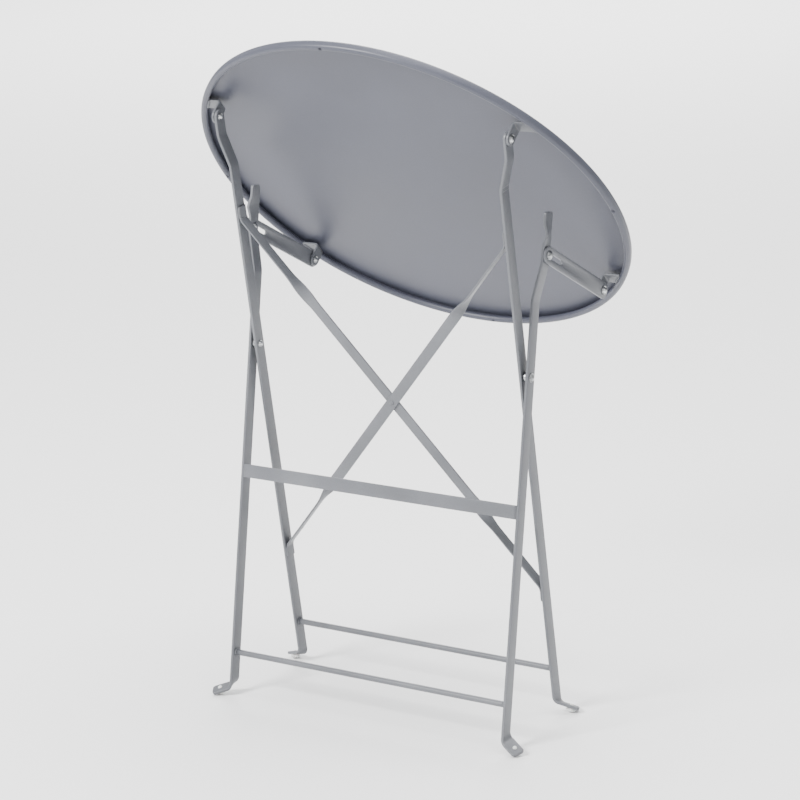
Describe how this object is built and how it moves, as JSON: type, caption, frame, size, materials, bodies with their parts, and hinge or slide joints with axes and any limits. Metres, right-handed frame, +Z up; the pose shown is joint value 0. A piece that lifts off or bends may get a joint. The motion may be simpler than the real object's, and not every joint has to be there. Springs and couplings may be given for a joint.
{
  "type": "folding table",
  "caption": "Round steel folding bistro table with a rolled rim on scissor legs, half folded with its top hanging, held by slotted links.",
  "frame": {"origin": "on the floor under the middle of the whole half-folded table's bounding box", "axes": "+Z up, +X along the hinge bolts to the table's right, +Y towards the low, far rim of the hanging top"},
  "size_m": [0.6, 0.4208, 0.9085],
  "materials": {
    "grey_powder_coat": "satin powder coat with a fine orange-peel texture",
    "zinc_plate": "bright zinc plate, domed heads",
    "glide_plastic": "moulded, slightly worn"
  },
  "bodies": {
    "inner_frame": {"left_inner_leg": "grey_powder_coat", "right_inner_leg": "grey_powder_coat", "inner_rod": "grey_powder_coat", "front_brace": "grey_powder_coat", "rear_brace": "grey_powder_coat", "brace_rivet": "zinc_plate", "left_inner_glide": "glide_plastic", "right_inner_glide": "glide_plastic", "left_hinge_bolt": "zinc_plate", "right_hinge_bolt": "zinc_plate", "left_pivot_bolt": "zinc_plate", "right_pivot_bolt": "zinc_plate", "left_pivot_spacer": "zinc_plate", "right_pivot_spacer": "zinc_plate"},
    "outer_frame": {"left_outer_leg": "grey_powder_coat", "right_outer_leg": "grey_powder_coat", "outer_rod": "grey_powder_coat", "crossbar": "grey_powder_coat", "left_outer_glide": "glide_plastic", "right_outer_glide": "glide_plastic", "left_tail_rivet": "zinc_plate", "right_tail_rivet": "zinc_plate"},
    "tabletop": {"tabletop_panel": "grey_powder_coat", "rolled_rim": "grey_powder_coat", "left_hinge_bracket": "grey_powder_coat", "right_hinge_bracket": "grey_powder_coat", "left_link_bracket": "grey_powder_coat", "right_link_bracket": "grey_powder_coat", "left_bracket_bolt": "zinc_plate", "right_bracket_bolt": "zinc_plate"},
    "left_link": {"left_slotted_link": "grey_powder_coat", "left_slot_pin": "zinc_plate"},
    "right_link": {"right_slotted_link": "grey_powder_coat", "right_slot_pin": "zinc_plate"}
  },
  "joints": [
    {"name": "frame_fold", "type": "hinge", "parent": "inner_frame", "child": "outer_frame", "pos_m": [0, -0.07351, 0.47734], "axis": [-1, 0, 0], "range_deg": [-6, 41.1]},
    {"name": "top_tilt", "type": "hinge", "parent": "inner_frame", "child": "tabletop", "pos_m": [0, -0.12701, 0.7903], "axis": [1, 0, 0], "range_deg": [-4.28, 26.4]},
    {"name": "left_link_swing", "type": "hinge", "parent": "tabletop", "child": "left_link", "pos_m": [-0.2275, 0.09545, 0.55833], "axis": [1, 0, 0], "range_deg": [-6.29, 40.16]},
    {"name": "right_link_swing", "type": "hinge", "parent": "tabletop", "child": "right_link", "pos_m": [0.2275, 0.09545, 0.55833], "axis": [1, 0, 0], "range_deg": [-6.29, 40.16]}
  ],
  "couplings": [
    {"joint": "top_tilt", "follows": "frame_fold", "ratio": 0.63017},
    {"joint": "left_link_swing", "follows": "frame_fold", "ratio": 0.96504},
    {"joint": "right_link_swing", "follows": "frame_fold", "ratio": 0.96504}
  ]
}
